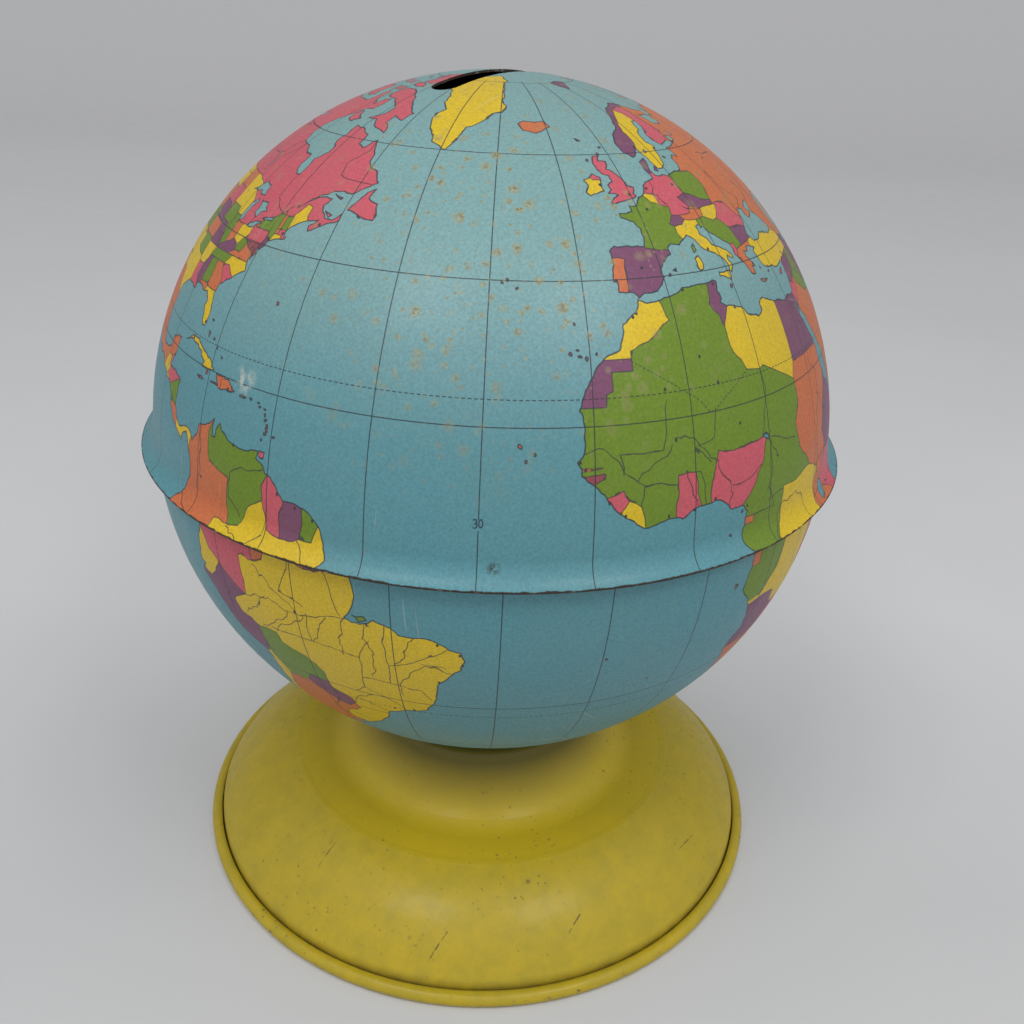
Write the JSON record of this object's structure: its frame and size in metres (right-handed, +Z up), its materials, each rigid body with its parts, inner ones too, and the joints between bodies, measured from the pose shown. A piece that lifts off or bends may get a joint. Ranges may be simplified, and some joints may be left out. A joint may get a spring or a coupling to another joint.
{
  "type": "globe coin bank",
  "caption": "Tin world-globe coin bank: a slotted upper half globe pushed onto a lower half that turns on a flared, rolled-rim pedestal.",
  "frame": {"origin": "on the floor, under the middle of the pedestal", "axes": "+Z up along the globe's axis; the coin slot runs along X; the bank's usual front is at azimuth -51 degrees, that is towards (-0.78, -0.63, 0)"},
  "size_m": [0.1184, 0.1184, 0.1412],
  "materials": {
    "litho_north": "semi-gloss lithographed tinplate with a political world map",
    "litho_south": "semi-gloss lithographed tinplate with a political world map",
    "pedestal_enamel": "semi-gloss olive-yellow enamel on pressed tinplate",
    "rivet_steel": "dull plated steel",
    "washer_steel": "dull plated steel"
  },
  "bodies": {
    "pedestal": {"pedestal": "pedestal_enamel", "pivot_rivet": "rivet_steel", "spacer_washer": "washer_steel", "inner_washer": "washer_steel", "clinch_washer": "washer_steel"},
    "lower_globe": {"southern_hemisphere": "litho_south"},
    "upper_globe": {"northern_hemisphere": "litho_north"}
  },
  "joints": [
    {"name": "globe_spin", "type": "hinge", "parent": "pedestal", "child": "lower_globe", "pos_m": [0, 0, 0.0272], "axis": [0, 0, 1], "continuous": true},
    {"name": "globe_open", "type": "slide", "parent": "lower_globe", "child": "upper_globe", "axis": [0, 0, 1], "range_m": [0, 0.06]}
  ]
}
